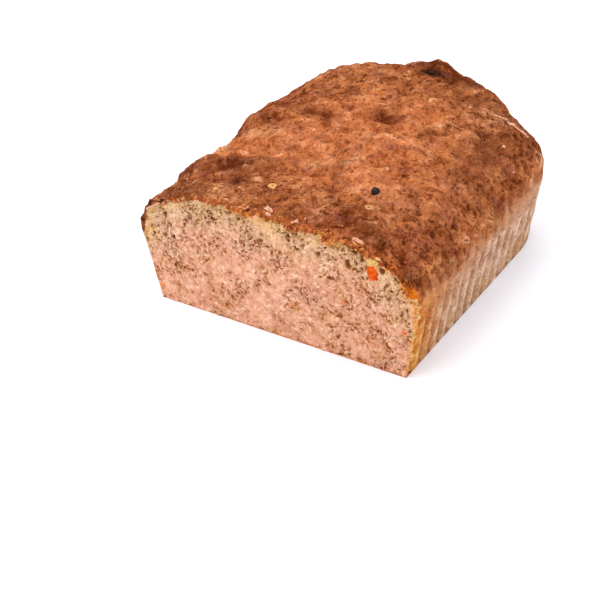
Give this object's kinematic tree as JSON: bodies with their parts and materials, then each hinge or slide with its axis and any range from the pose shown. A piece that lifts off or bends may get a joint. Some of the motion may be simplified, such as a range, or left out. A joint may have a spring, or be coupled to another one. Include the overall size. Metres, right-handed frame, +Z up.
{
  "type": "meat pate",
  "caption": "Cut loaf of coarse baked meat pate: fluted tray-baked sides, domed craggy brown crust and a pink-beige cut face.",
  "frame": {"origin": "middle of the flat underside, below the middle of the width and half way along the 125.5 mm from the cut to the rim at the back", "axes": "+Z up, +Y from the cut face towards the rounded back end, +X to the right as seen from the cut; the cut faces -Y"},
  "size_m": [0.1217, 0.1314, 0.0573],
  "materials": {
    "crust": "baked brown crust, matte with a faint fat sheen",
    "crumb": "moist coarse pink-beige crumb",
    "carrot": "moist orange carrot",
    "pepper": "dry wrinkled black peppercorn",
    "pale_bits": "pale moist onion and fat",
    "herb": "dull dark green herb flakes"
  },
  "bodies": {
    "root": {"pate_loaf": "crust"}
  },
  "joints": []
}
